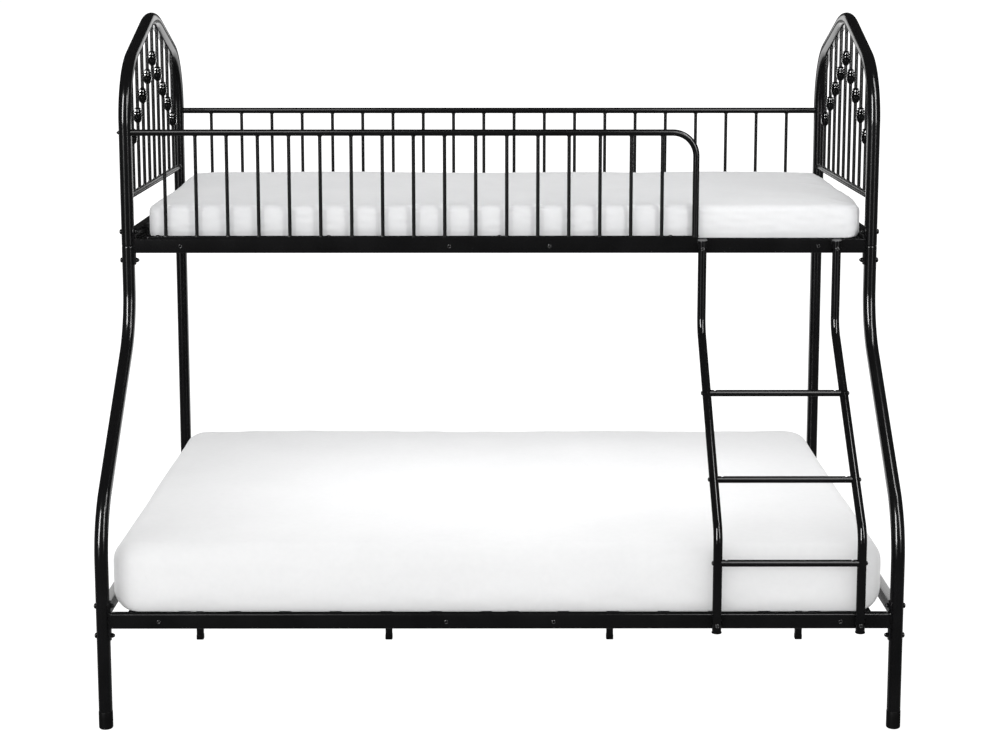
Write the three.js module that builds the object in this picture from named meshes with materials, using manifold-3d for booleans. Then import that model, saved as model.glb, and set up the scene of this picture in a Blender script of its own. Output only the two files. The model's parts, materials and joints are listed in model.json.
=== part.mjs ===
// Metal bunk bed, a narrow bunk over a wide one, as separate solids in millimetres, +Z up.
// +X runs along the bed, +Y from the ladder side to the wall side. The origin is the middle of
// the footprint, on the floor. Positions below are given with Y = 0 on the axis of the lower
// front posts; the whole group is moved by -DEPTH_CENTRE at the end.
import * as THREE from "three";
import { mergeVertices } from "three/addons/utils/BufferGeometryUtils.js";
import Module from "manifold-3d";

// ---- driving dimensions (mm) ----
const GAP = 0.3; // clearance between touching pieces
const POST_X = 1037.5; // axis of the posts, each side of the middle
const POST_R = 18; // posts and arches, outer radius
const WALL = 1.5; // tube wall
const LOWER_FRONT_Y = 0; // axis of the front posts below the bend
const UPPER_FRONT_Y = 500; // axis of the front posts above the bend
const REAR_Y = 1439; // axis of the rear posts
const SEAM_Z = 1215; // joint between lower and upper end frames
const LEG_BEND_HIGH_Z = 992; // upper corner of the front leg's S-bend
const LEG_BEND_LOW_Z = 554; // lower corner of the S-bend
const LEG_BEND_R = 230;
const FOOT_H = 6; // plastic foot under each post
const ARCH_MID_Y = (UPPER_FRONT_Y + REAR_Y) / 2;
const ARCH_KNEE_Z = 1694.6; // corner where the post turns into the sloping roof
const ARCH_APEX_Z = 1852.4; // corner of the two slopes, before rounding
const ARCH_KNEE_R = 200;
const ARCH_APEX_R = 300;
const RAIL_H = 38; // side rail and end rail section
const RAIL_T = 25;
const UPPER_RAIL_Z = 1215; // centre of the upper side rails
const LOWER_RAIL_Z = 293; // centre of the lower side rails
const UPPER_END_RAIL_Z = 1233.5;
const LOWER_END_RAIL_Z = 314;
const SADDLE_H = 105; // curved bracket welded to each rail end
const SADDLE_T = 3;
const SADDLE_HALF_ANGLE = 42; // degrees
const BOLT_PITCH = 40; // bracket bolts above and below the rail's centre
const BOLT_R = 3.9;
const BOLT_HOLE_R = 4.6;
const HEADBOARD_BAR_Z = 1350;
const HEADBOARD_BAR_R = 9;
const SPINDLE_R = 5;
const HEADBOARD_PITCH = 88.5;
const CASTING_Z = [1512, 1566, 1617, 1668, 1718, 1668, 1617, 1566, 1512];
const CASTING_R = 12.5;
const CASTING_H = 44;
const GUARD_TUBE_R = 9;
const GUARD_Z = 1531.5; // axis of the guard's top tube
const GUARD_STRIP_H = 7.7;
const STRIP_START_X = -982;
const FRONT_GUARD_END_X = 547; // axis of the guard's free upright
const FRONT_GUARD_BEND_R = 66;
const FRONT_PITCH = 86.5;
const REAR_PITCH = 98;
const FIRST_SPINDLE_X = -931;
const STILE_R = 12;
const STILE_X = [565, 939];
const STILE_TOP_Z = 1232;
const STILE_FOOT_Z = 271;
const STILE_UPPER_Y = 475;
const STILE_LOWER_Y = -25;
const STILE_CORNER_HIGH_Z = 987;
const STILE_CORNER_LOW_Z = 534.5;
const STILE_BEND_R = 75;
const RUNG_R = 9;
const RUNGS = [
  ["lower", -25, 454.5],
  ["middle", 98.2, 646],
  ["upper", 307, 835],
];
const SLAT_W = 30;
const SLAT_T = 8;
const SLATS = 8;
const SLAT_FIRST_X = 960;
const SLAT_LAST_X = 35;
const PANEL_BAR = 20;
const PANEL_IN_X = 20;
const PANEL_OUT_X = 1010;
const SUPPORT_X = [330, 894];
const SUPPORT_Y = 720;
const SUPPORT_W = 20;
const UPPER_MATTRESS = { x: [-987, 1016], y: [514, 1420], z: [1234.5, 1334], plan: 60, top: 30, bottom: 14 };
const LOWER_MATTRESS = { x: [-1023, 1010], y: [14, 1420], z: [312.5, 494], plan: 75, top: 45, bottom: 16 };
const DEPTH_CENTRE = (STILE_LOWER_Y - STILE_R + REAR_Y + POST_R) / 2;

const wasm = await Module();
wasm.setup();

// ---- solids ----
function solid(geometry) {
  const g = geometry.clone();
  g.deleteAttribute("normal");
  g.deleteAttribute("uv");
  const m = mergeVertices(g, 1e-4);
  return new wasm.Manifold(
    new wasm.Mesh({
      numProp: 3,
      vertProperties: new Float32Array(m.attributes.position.array),
      triVerts: new Uint32Array(m.index.array),
    }),
  );
}

function geometryOf(s) {
  const m = s.getMesh();
  const g = new THREE.BufferGeometry();
  const p = new Float32Array(m.numVert * 3);
  for (let i = 0; i < m.numVert; i++)
    p.set(m.vertProperties.subarray(i * m.numProp, i * m.numProp + 3), i * 3);
  g.setAttribute("position", new THREE.BufferAttribute(p, 3));
  g.setIndex(new THREE.BufferAttribute(new Uint32Array(m.triVerts), 1));
  const flat = g.toNonIndexed();
  flat.computeVertexNormals();
  return flat;
}

const join = (...all) => all.flat().reduce((a, b) => a.add(b));
const V = (x, y, z) => new THREE.Vector3(x, y, z);

// A path through stated stations, with the direction at each: straight runs need no steps
// between their ends, and only the bends are divided.
class StationPath extends THREE.Curve {
  constructor(points, directions) {
    super();
    this.points = points;
    this.directions = directions;
  }
  at(list, t, out) {
    return out.copy(list[Math.round(t * (list.length - 1))]);
  }
  getPoint(t, out = new THREE.Vector3()) {
    return this.at(this.points, t, out);
  }
  getPointAt(t, out = new THREE.Vector3()) {
    return this.at(this.points, t, out);
  }
  getTangent(t, out = new THREE.Vector3()) {
    return this.at(this.directions, t, out);
  }
  getTangentAt(t, out = new THREE.Vector3()) {
    return this.at(this.directions, t, out);
  }
}

// Corners joined by straight runs, each inner corner rounded to its radius.
function bentPath(corners, radii, stepDegrees) {
  const points = [corners[0].clone()];
  const directions = [corners[1].clone().sub(corners[0]).normalize()];
  for (let i = 1; i < corners.length - 1; i++) {
    const into = corners[i].clone().sub(corners[i - 1]).normalize();
    const away = corners[i + 1].clone().sub(corners[i]).normalize();
    const turn = into.angleTo(away);
    const run = radii[i - 1] * Math.tan(turn / 2);
    const start = corners[i].clone().addScaledVector(into, -run);
    const inward = away.clone().addScaledVector(into, -away.dot(into)).normalize();
    const centre = start.clone().addScaledVector(inward, radii[i - 1]);
    const steps = Math.max(2, Math.ceil((turn * 180) / Math.PI / stepDegrees));
    for (let k = 0; k <= steps; k++) {
      const a = (turn * k) / steps;
      points.push(
        centre
          .clone()
          .addScaledVector(inward, -radii[i - 1] * Math.cos(a))
          .addScaledVector(into, radii[i - 1] * Math.sin(a)),
      );
      directions.push(into.clone().multiplyScalar(Math.cos(a)).addScaledVector(inward, Math.sin(a)));
    }
  }
  const n = corners.length;
  points.push(corners[n - 1].clone());
  directions.push(corners[n - 1].clone().sub(corners[n - 2]).normalize());
  return new StationPath(points, directions);
}

function polygon(radius, sides) {
  return Array.from({ length: sides }, (_, i) => {
    const a = (2 * Math.PI * (i + 0.5)) / sides;
    return new THREE.Vector2(radius * Math.cos(a), radius * Math.sin(a));
  });
}

function sweep(path, outline, hole) {
  const shape = new THREE.Shape(outline);
  if (hole) shape.holes.push(new THREE.Path(hole));
  return solid(
    new THREE.ExtrudeGeometry(shape, {
      steps: path.points.length - 1,
      bevelEnabled: false,
      extrudePath: path,
    }),
  );
}

const pipe = (path, radius, sides, wall = WALL, innerSides = sides / 2) =>
  sweep(path, polygon(radius, sides), wall ? polygon(radius - wall, innerSides) : null);
const rod = (a, b, radius, sides) => sweep(bentPath([a, b], [], 10), polygon(radius, sides));

function box(x0, x1, y0, y1, z0, z1) {
  const g = new THREE.BoxGeometry(x1 - x0, y1 - y0, z1 - z0);
  g.translate((x0 + x1) / 2, (y0 + y1) / 2, (z0 + z1) / 2);
  return solid(g);
}

// A profile of [radius, height] turned round +Z, placed and pointed along an axis.
function turned(profile, sides, place, axis = V(0, 0, 1)) {
  const g = new THREE.LatheGeometry(profile.map(([r, h]) => new THREE.Vector2(r, h)), sides);
  g.rotateX(Math.PI / 2);
  g.applyQuaternion(new THREE.Quaternion().setFromUnitVectors(V(0, 0, 1), axis));
  g.translate(place.x, place.y, place.z);
  let s = solid(g);
  if (s.volume() < 0) {
    const m = g.index.array;
    for (let i = 0; i < m.length; i += 3) [m[i + 1], m[i + 2]] = [m[i + 2], m[i + 1]];
    s = solid(g);
  }
  return s;
}

// Hollow rectangular tube with rounded corners, straight, between two points.
function boxTube(a, b, across, tall, wall) {
  const dir = b.clone().sub(a).normalize();
  const path = bentPath([a, b], [], 10);
  const frames = path.computeFrenetFrames(1, false);
  // which of the section's two directions is vertical
  const vertical = Math.abs(frames.normals[0].z) > 0.5;
  const w = vertical ? tall : across;
  const h = vertical ? across : tall;
  const c = 3;
  const k = c * 0.3;
  const outline = [
    [w / 2 - c, -h / 2], [w / 2 - k, -h / 2 + k], [w / 2, -h / 2 + c],
    [w / 2, h / 2 - c], [w / 2 - k, h / 2 - k], [w / 2 - c, h / 2],
    [-w / 2 + c, h / 2], [-w / 2 + k, h / 2 - k], [-w / 2, h / 2 - c],
    [-w / 2, -h / 2 + c], [-w / 2 + k, -h / 2 + k], [-w / 2 + c, -h / 2],
  ].map(([x, y]) => new THREE.Vector2(x, y));
  const iw = w / 2 - wall;
  const ih = h / 2 - wall;
  const hole = [[iw, -ih], [iw, ih], [-iw, ih], [-iw, -ih]].map(([x, y]) => new THREE.Vector2(x, y));
  return sweep(path, outline, hole);
}

const black = (roughness) =>
  new THREE.MeshStandardMaterial({ color: 0x17181a, roughness, metalness: 0.35 });
const PAINT = black(0.32);
const PLASTIC = new THREE.MeshStandardMaterial({ color: 0x101112, roughness: 0.55, metalness: 0 });
const ZINC = new THREE.MeshStandardMaterial({ color: 0x9a9c9e, roughness: 0.4, metalness: 0.9 });
const CLOTH = new THREE.MeshStandardMaterial({ color: 0xf1f1f2, roughness: 0.9, metalness: 0 });

const root = new THREE.Group();
root.position.y = -DEPTH_CENTRE;
function add(name, s, material) {
  const mesh = new THREE.Mesh(geometryOf(s), material);
  mesh.name = name;
  root.add(mesh);
}

// Room for a post, cut out of the pieces that are fitted against it.
const postRoom = (x, y, z0, z1) => rod(V(x, y, z0), V(x, y, z1), POST_R + GAP + 0.1, 16);
// Bolt hole along X through a post.
const boltHole = (x, y, z) =>
  rod(V(x - POST_R - 6, y, z), V(x + POST_R + 6, y, z), BOLT_HOLE_R, 8);

// ---- end frames ----
const archCorners = (x) => [
  V(x, UPPER_FRONT_Y, SEAM_Z + GAP / 2),
  V(x, UPPER_FRONT_Y, ARCH_KNEE_Z),
  V(x, ARCH_MID_Y, ARCH_APEX_Z),
  V(x, REAR_Y, ARCH_KNEE_Z),
  V(x, REAR_Y, SEAM_Z + GAP / 2),
];
const archRadii = [ARCH_KNEE_R, ARCH_APEX_R, ARCH_KNEE_R];

for (const [side, s] of [["left", -1], ["right", 1]]) {
  const x = s * POST_X;
  const archPath = bentPath(archCorners(x), archRadii, 14);
  let arch = pipe(archPath, POST_R, 12, WALL, 8);
  arch = arch.subtract(boltHole(x, UPPER_FRONT_Y, UPPER_RAIL_Z + BOLT_PITCH));
  add(`${side}_upper_arch`, arch, PAINT);

  // headboard panel: bottom bar, spindles up to the arch, a casting round each spindle
  const pieces = [
    rod(V(x, UPPER_FRONT_Y, HEADBOARD_BAR_Z), V(x, REAR_Y, HEADBOARD_BAR_Z), HEADBOARD_BAR_R, 10),
  ];
  const h = CASTING_H / 2;
  const casting = [
    [0, -h - 1], [5.4, -h - 1], [10.4, -h + 10], [CASTING_R, -1], [11.8, 13], [5.4, h], [0, h],
  ];
  CASTING_Z.forEach((z, i) => {
    const y = ARCH_MID_Y + (i - 4) * HEADBOARD_PITCH;
    pieces.push(rod(V(x, y, HEADBOARD_BAR_Z), V(x, y, ARCH_APEX_Z), SPINDLE_R, 6));
    pieces.push(turned(casting, 8, V(x, y, z)));
  });
  const archRoom = pipe(archPath, POST_R + GAP + 0.1, 12, 0);
  const aboveArch = solid(
    new THREE.ExtrudeGeometry(
      new THREE.Shape(
        [...archPath.points.slice(1, -1).map((p) => new THREE.Vector2(p.y, p.z)),
          new THREE.Vector2(REAR_Y + 5, ARCH_APEX_Z + 60), new THREE.Vector2(UPPER_FRONT_Y - 5, ARCH_APEX_Z + 60)],
      ),
      { depth: 60, bevelEnabled: false },
    )
      .rotateX(Math.PI / 2)
      .rotateZ(Math.PI / 2)
      .translate(x - 30, 0, 0),
  );
  add(`${side}_headboard_panel`, join(pieces).subtract(archRoom).subtract(aboveArch), PAINT);

  const endRail = (y0, z) =>
    boxTube(V(x, y0, z), V(x, REAR_Y, z), RAIL_T, RAIL_H, WALL)
      .subtract(postRoom(x, y0, z - 40, z + 40))
      .subtract(postRoom(x, REAR_Y, z - 40, z + 40));
  add(`${side}_upper_end_rail`, endRail(UPPER_FRONT_Y, UPPER_END_RAIL_Z), PAINT);
  add(`${side}_lower_end_rail`, endRail(LOWER_FRONT_Y, LOWER_END_RAIL_Z), PAINT);

  const legPath = bentPath(
    [
      V(x, UPPER_FRONT_Y, SEAM_Z - GAP / 2), V(x, UPPER_FRONT_Y, LEG_BEND_HIGH_Z),
      V(x, LOWER_FRONT_Y, LEG_BEND_LOW_Z), V(x, LOWER_FRONT_Y, FOOT_H + GAP),
    ],
    [LEG_BEND_R, LEG_BEND_R],
    9,
  );
  add(
    `${side}_front_leg`,
    pipe(legPath, POST_R, 12, WALL, 8)
      .subtract(boltHole(x, UPPER_FRONT_Y, UPPER_RAIL_Z - BOLT_PITCH))
      .subtract(boltHole(x, LOWER_FRONT_Y, LOWER_RAIL_Z - BOLT_PITCH))
      .subtract(boltHole(x, LOWER_FRONT_Y, LOWER_RAIL_Z + BOLT_PITCH)),
    PAINT,
  );
  const rearPath = bentPath([V(x, REAR_Y, SEAM_Z - GAP / 2), V(x, REAR_Y, FOOT_H + GAP)], [], 10);
  add(`${side}_rear_leg`, pipe(rearPath, POST_R, 12, WALL, 8), PAINT);

  for (const [place, y] of [["front", LOWER_FRONT_Y], ["rear", REAR_Y]])
    add(
      `${side}_${place}_foot`,
      turned(
        [[0, 0], [13, 0], [POST_R - 1.5, 1.8], [POST_R, FOOT_H], [14, FOOT_H], [14, FOOT_H + 16], [0, FOOT_H + 16]],
        16,
        V(x, y, 0),
      ),
      PLASTIC,
    );

  // sleeve inside each post across the seam
  for (const [place, y] of [["front", UPPER_FRONT_Y], ["rear", REAR_Y]]) {
    let sleeve = pipe(bentPath([V(x, y, SEAM_Z - 60), V(x, y, SEAM_Z + 60)], [], 10), 15.9, 8, 1.6, 8);
    if (place === "front")
      sleeve = sleeve
        .subtract(boltHole(x, y, UPPER_RAIL_Z + BOLT_PITCH))
        .subtract(boltHole(x, y, UPPER_RAIL_Z - BOLT_PITCH));
    add(`${side}_${place}_post_sleeve`, sleeve, ZINC);
  }
}

// ---- side rails with a curved bracket on each end ----
function saddle(x, y, z) {
  const inward = x < 0 ? 0 : Math.PI;
  const half = (SADDLE_HALF_ANGLE * Math.PI) / 180;
  const r0 = POST_R + GAP + 0.1;
  const steps = 5;
  const arc = (r, from, to) =>
    Array.from({ length: steps + 1 }, (_, i) => {
      const a = inward + from + ((to - from) * i) / steps;
      return new THREE.Vector2(x + r * Math.cos(a), y + r * Math.sin(a));
    });
  const shape = new THREE.Shape([...arc(r0 + SADDLE_T, -half, half), ...arc(r0 - 1, half, -half)]);
  const g = new THREE.ExtrudeGeometry(shape, { depth: SADDLE_H, bevelEnabled: false });
  g.translate(0, 0, z - SADDLE_H / 2);
  return solid(g);
}

function sideRail(y, z, bolted) {
  const end = POST_X - POST_R + 2;
  let rail = boxTube(V(-end, y, z), V(end, y, z), RAIL_T, RAIL_H, WALL);
  for (const x of [-POST_X, POST_X]) rail = rail.add(saddle(x, y, z));
  for (const x of [-POST_X, POST_X]) {
    rail = rail.subtract(postRoom(x, y, z - 60, z + 60));
    if (bolted)
      rail = rail
        .subtract(boltHole(x, y, z - BOLT_PITCH))
        .subtract(boltHole(x, y, z + BOLT_PITCH));
  }
  // the bore runs out through both brackets
  const b = WALL;
  return rail.subtract(
    box(-end - 2, end + 2, y - RAIL_T / 2 + b, y + RAIL_T / 2 - b, z - RAIL_H / 2 + b, z + RAIL_H / 2 - b),
  );
}
add("upper_front_rail", sideRail(UPPER_FRONT_Y, UPPER_RAIL_Z, true), PAINT);
add("upper_rear_rail", sideRail(REAR_Y, UPPER_RAIL_Z, false), PAINT);
add("lower_front_rail", sideRail(LOWER_FRONT_Y, LOWER_RAIL_Z, true), PAINT);
add("lower_rear_rail", sideRail(REAR_Y, LOWER_RAIL_Z, false), PAINT);

// Bolt with a domed head outside the post and a domed nut inside the bracket.
function bracketBolt(x, y, z) {
  const s = Math.sign(x);
  const out = POST_R + GAP;
  const inn = -(POST_R + GAP + 0.1 + SADDLE_T + GAP);
  return turned(
    [
      [0, inn - 11], [5.6, inn - 6], [6.8, inn], [BOLT_R, inn],
      [BOLT_R, out], [7.2, out], [5.2, out + 3.9], [0, out + 5.2],
    ],
    8,
    V(x, y, z),
    V(s, 0, 0),
  );
}
for (const [side, s] of [["left", -1], ["right", 1]])
  for (const [level, y, z] of [["upper", UPPER_FRONT_Y, UPPER_RAIL_Z], ["lower", LOWER_FRONT_Y, LOWER_RAIL_Z]])
    for (const [row, dz] of [["top", BOLT_PITCH], ["bottom", -BOLT_PITCH]])
      add(`${level}_front_${side}_${row}_bolt`, bracketBolt(s * POST_X, y, z + dz), PAINT);

// ---- guards ----
const stripZ = UPPER_RAIL_Z + RAIL_H / 2 + GAP;
const guardFoot = stripZ + GUARD_STRIP_H / 2;
const guardEnd = POST_X - POST_R - GAP - 0.2;
{
  const y = UPPER_FRONT_Y;
  const pieces = [
    box(STRIP_START_X, FRONT_GUARD_END_X + 8, y - RAIL_T / 2, y + RAIL_T / 2, stripZ, stripZ + GUARD_STRIP_H),
    pipe(
      bentPath(
        [V(-guardEnd, y, GUARD_Z), V(FRONT_GUARD_END_X, y, GUARD_Z), V(FRONT_GUARD_END_X, y, guardFoot)],
        [FRONT_GUARD_BEND_R],
        13,
      ),
      GUARD_TUBE_R,
      12,
      1.2,
      6,
    ),
  ];
  for (let i = 0; i < 17; i++) {
    const x = FIRST_SPINDLE_X + FRONT_PITCH * i;
    pieces.push(rod(V(x, y, guardFoot), V(x, y, GUARD_Z - GUARD_TUBE_R + 1), SPINDLE_R, 6));
  }
  add("front_guard_rail", join(pieces), PAINT);
}
{
  const y = REAR_Y;
  const pieces = [
    box(STRIP_START_X, -STRIP_START_X, y - RAIL_T / 2, y + RAIL_T / 2, stripZ, stripZ + GUARD_STRIP_H),
    pipe(bentPath([V(-guardEnd, y, GUARD_Z), V(guardEnd, y, GUARD_Z)], [], 13), GUARD_TUBE_R, 12, 1.2, 6),
  ];
  for (let i = 0; i < 20; i++) {
    const x = FIRST_SPINDLE_X + REAR_PITCH * i;
    pieces.push(rod(V(x, y, guardFoot), V(x, y, GUARD_Z - GUARD_TUBE_R + 1), SPINDLE_R, 6));
  }
  add("rear_guard_rail", join(pieces), PAINT);
}

// ---- ladder ----
for (const [side, x] of [["left", STILE_X[0]], ["right", STILE_X[1]]]) {
  const path = bentPath(
    [
      V(x, STILE_UPPER_Y, STILE_TOP_Z), V(x, STILE_UPPER_Y, STILE_CORNER_HIGH_Z),
      V(x, STILE_LOWER_Y, STILE_CORNER_LOW_Z), V(x, STILE_LOWER_Y, STILE_FOOT_Z),
    ],
    [STILE_BEND_R, STILE_BEND_R],
    11,
  );
  add(`ladder_${side}_stile`, pipe(path, STILE_R, 12, 1.5, 8), PAINT);
  const plug = (up) => [
    [0, -14], [8.6, -14], [8.6, GAP], [STILE_R + 0.3, GAP], [STILE_R, 3.4], [9, 4.6], [0, 5],
  ].map(([r, h]) => [r, h * up]);
  add(`ladder_${side}_top_plug`, turned(plug(1), 12, V(x, STILE_UPPER_Y, STILE_TOP_Z)), PLASTIC);
  add(`ladder_${side}_bottom_plug`, turned(plug(-1), 12, V(x, STILE_LOWER_Y, STILE_FOOT_Z)), PLASTIC);
}
for (const [name, y, z] of RUNGS)
  add(
    `ladder_${name}_rung`,
    pipe(
      bentPath([V(STILE_X[0] + STILE_R + GAP, y, z), V(STILE_X[1] - STILE_R - GAP, y, z)], [], 10),
      RUNG_R, 12, 1.5, 6,
    ),
    PAINT,
  );

// ---- slat panels and their support legs ----
for (const [level, frontY, top] of [
  ["upper", UPPER_FRONT_Y, UPPER_RAIL_Z + RAIL_H / 2],
  ["lower", LOWER_FRONT_Y, LOWER_RAIL_Z + RAIL_H / 2],
])
  for (const [side, s] of [["left", -1], ["right", 1]]) {
    const y0 = frontY + RAIL_T / 2 + GAP;
    const y1 = REAR_Y - RAIL_T / 2 - GAP;
    const x0 = Math.min(s * PANEL_IN_X, s * PANEL_OUT_X);
    const x1 = Math.max(s * PANEL_IN_X, s * PANEL_OUT_X);
    const z1 = top - SLAT_T;
    const z0 = z1 - PANEL_BAR;
    const mid = level === "lower" ? SUPPORT_Y : (y0 + y1) / 2;
    const pieces = [
      box(x0, x1, y0, y0 + PANEL_BAR, z0, z1 + 0.5),
      box(x0, x1, y1 - PANEL_BAR, y1, z0, z1 + 0.5),
      box(x0, x1, mid - PANEL_BAR / 2, mid + PANEL_BAR / 2, z0, z1 + 0.5),
    ];
    for (let i = 0; i < SLATS; i++) {
      const x = s * (SLAT_FIRST_X + ((SLAT_LAST_X - SLAT_FIRST_X) * i) / (SLATS - 1));
      pieces.push(box(x - SLAT_W / 2, x + SLAT_W / 2, y0 + 1, y1 - 1, z1, top));
    }
    add(`${level}_${side}_slat_panel`, join(pieces), PAINT);
    if (level === "upper") continue;
    for (const sx of SUPPORT_X) {
      const x = s * sx;
      const w = SUPPORT_W / 2;
      const name = `${side}_${sx > 500 ? "outer" : "inner"}_support`;
      add(
        `${name}_leg`,
        box(x - w, x + w, SUPPORT_Y - w, SUPPORT_Y + w, 5 + GAP, z0 - GAP).subtract(
          box(x - w + WALL, x + w - WALL, SUPPORT_Y - w + WALL, SUPPORT_Y + w - WALL, 0, z0 + 10),
        ),
        PAINT,
      );
      add(
        `${name}_foot`,
        join(
          box(x - w - 0.5, x + w + 0.5, SUPPORT_Y - w - 0.5, SUPPORT_Y + w + 0.5, 0, 5),
          box(x - w + 2.2, x + w - 2.2, SUPPORT_Y - w + 2.2, SUPPORT_Y + w - 2.2, 4, 20),
        ),
        PLASTIC,
      );
    }
  }

// ---- mattresses ----
function mattress({ x, y, z, plan, top, bottom }) {
  const levels = [];
  for (let i = 0; i <= 3; i++) {
    const a = (Math.PI / 6) * i;
    levels.push([z[0] + bottom * (1 - Math.sin(a)), bottom * (1 - Math.cos(a))]);
    levels.push([z[1] - top * (1 - Math.sin(a)), top * (1 - Math.cos(a))]);
  }
  const points = [];
  for (const [level, inset] of levels)
    for (const [sx, x0] of [[1, x[1] - plan], [-1, x[0] + plan]])
      for (const [sy, y0] of [[1, y[1] - plan], [-1, y[0] + plan]])
        for (let k = 0; k <= 6; k++) {
          const a = (Math.PI / 12) * k;
          points.push([
            x0 + sx * (plan - inset) * Math.cos(a),
            y0 + sy * (plan - inset) * Math.sin(a),
            level,
          ]);
        }
  return wasm.Manifold.hull(points);
}
add("upper_mattress", mattress(UPPER_MATTRESS), CLOTH);
add("lower_mattress", mattress(LOWER_MATTRESS), CLOTH);

export default root;
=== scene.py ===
# Looks of the metal bunk bed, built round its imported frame. Lengths in the shape code are in
# millimetres, with Y = 0 on the axis of the lower front posts; P() turns them into the frame's metres.
import json
import math

import bmesh
import bpy
import numpy as np
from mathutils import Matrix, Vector, noise

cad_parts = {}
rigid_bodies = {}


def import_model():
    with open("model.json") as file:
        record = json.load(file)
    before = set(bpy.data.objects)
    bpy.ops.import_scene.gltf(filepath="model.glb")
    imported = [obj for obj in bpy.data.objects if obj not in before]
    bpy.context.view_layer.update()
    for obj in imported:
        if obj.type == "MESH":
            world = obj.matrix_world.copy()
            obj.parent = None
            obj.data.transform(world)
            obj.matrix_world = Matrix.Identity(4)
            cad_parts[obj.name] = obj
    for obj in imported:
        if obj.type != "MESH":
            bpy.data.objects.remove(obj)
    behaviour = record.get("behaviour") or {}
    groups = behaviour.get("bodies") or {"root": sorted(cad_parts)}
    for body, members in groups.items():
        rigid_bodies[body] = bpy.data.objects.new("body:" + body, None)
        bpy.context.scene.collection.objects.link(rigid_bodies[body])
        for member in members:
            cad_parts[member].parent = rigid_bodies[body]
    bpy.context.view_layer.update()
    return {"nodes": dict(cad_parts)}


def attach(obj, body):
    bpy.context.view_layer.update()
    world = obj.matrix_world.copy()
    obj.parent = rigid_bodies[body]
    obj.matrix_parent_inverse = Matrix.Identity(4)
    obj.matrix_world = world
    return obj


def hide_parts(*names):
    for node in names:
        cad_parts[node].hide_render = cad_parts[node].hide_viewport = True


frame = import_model()
scene = bpy.context.scene

# ---- driving dimensions, as in the frame (mm) ----
DEPTH_CENTRE = 710.0
POST_X, POST_R = 1037.5, 18.0
LOWER_Y, UPPER_Y, REAR_Y = 0.0, 500.0, 1439.0
SEAM_Z = 1215.0
LEG_HIGH_Z, LEG_LOW_Z, LEG_R = 992.0, 554.0, 230.0
ARCH_MID_Y = (UPPER_Y + REAR_Y) / 2
ARCH_KNEE_Z, ARCH_APEX_Z, ARCH_KNEE_R, ARCH_APEX_R = 1694.6, 1852.4, 200.0, 300.0
RAIL_H, RAIL_T = 38.0, 25.0
UPPER_RAIL_Z, LOWER_RAIL_Z = 1215.0, 293.0
UPPER_END_Z, LOWER_END_Z = 1233.5, 314.0
SADDLE_H, SADDLE_T = 105.0, 3.0
BOLT_PITCH = 40.0
BAR_Z, BAR_R, SPINDLE_R = 1350.0, 9.0, 5.0
HEAD_PITCH = 88.5
CASTING_Z = [1512, 1566, 1617, 1668, 1718, 1668, 1617, 1566, 1512]
GUARD_R, GUARD_Z = 9.0, 1531.5
STRIP_Z0, STRIP_Z1 = 1234.3, 1242.0
STRIP_X = 982.0
GUARD_END_X, GUARD_BEND_R = 547.0, 66.0
STILE_R, STILE_X = 12.0, (565.0, 939.0)
STILE_TOP, STILE_FOOT, STILE_UY, STILE_LY = 1232.0, 271.0, 475.0, -25.0
STILE_HIGH, STILE_LOW, STILE_BEND_R = 987.0, 534.5, 75.0
RUNG_R = 9.0
RUNGS = [("lower", -25.0, 454.5), ("middle", 98.2, 646.0), ("upper", 307.0, 835.0)]

X, Y, Z = np.array([1.0, 0, 0]), np.array([0, 1.0, 0]), np.array([0, 0, 1.0])


def A(*v):
    return np.array(v, float)


def unit(v):
    return v / np.linalg.norm(v)


# ---- camera ----
cam_data = bpy.data.cameras.new("camera")
cam_data.sensor_width = 36.0
cam_data.lens = 2004.17 * 36.0 / 1000.0
cam_data.shift_y = -0.10
cam_data.clip_start, cam_data.clip_end = 0.1, 400.0
camera = bpy.data.objects.new("camera", cam_data)
camera.location = (-0.00953, -5.05441 - DEPTH_CENTRE / 1000, 1.956)
camera.rotation_euler = (math.pi / 2 - 0.1472, 0.0, -0.002)
scene.collection.objects.link(camera)
scene.camera = camera
scene.view_settings.view_transform = "Standard"
scene.view_settings.look = "None"


# ---- materials ----
def material(name):
    m = bpy.data.materials.new(name)
    m.use_nodes = True
    nt = m.node_tree
    for n in list(nt.nodes):
        nt.nodes.remove(n)
    out = nt.nodes.new("ShaderNodeOutputMaterial")
    bsdf = nt.nodes.new("ShaderNodeBsdfPrincipled")
    nt.links.new(bsdf.outputs["BSDF"], out.inputs["Surface"])
    coord = nt.nodes.new("ShaderNodeTexCoord").outputs["Object"]
    return m, nt, bsdf, coord


def tex_noise(nt, coord, scale, detail=2.0, rough=0.5, distortion=0.0):
    n = nt.nodes.new("ShaderNodeTexNoise")
    n.inputs["Scale"].default_value = scale
    n.inputs["Detail"].default_value = detail
    n.inputs["Roughness"].default_value = rough
    n.inputs["Distortion"].default_value = distortion
    nt.links.new(coord, n.inputs["Vector"])
    return n.outputs["Fac"]


def spread(nt, value, low, high, to_low, to_high):
    n = nt.nodes.new("ShaderNodeMapRange")
    n.inputs["From Min"].default_value = low
    n.inputs["From Max"].default_value = high
    n.inputs["To Min"].default_value = to_low
    n.inputs["To Max"].default_value = to_high
    nt.links.new(value, n.inputs["Value"])
    return n.outputs["Result"]


def maths(nt, kind, a, b=None):
    n = nt.nodes.new("ShaderNodeMath")
    n.operation = kind
    for i, v in enumerate((a, b)):
        if v is None:
            continue
        if isinstance(v, (int, float)):
            n.inputs[i].default_value = v
        else:
            nt.links.new(v, n.inputs[i])
    return n.outputs[0]


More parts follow.
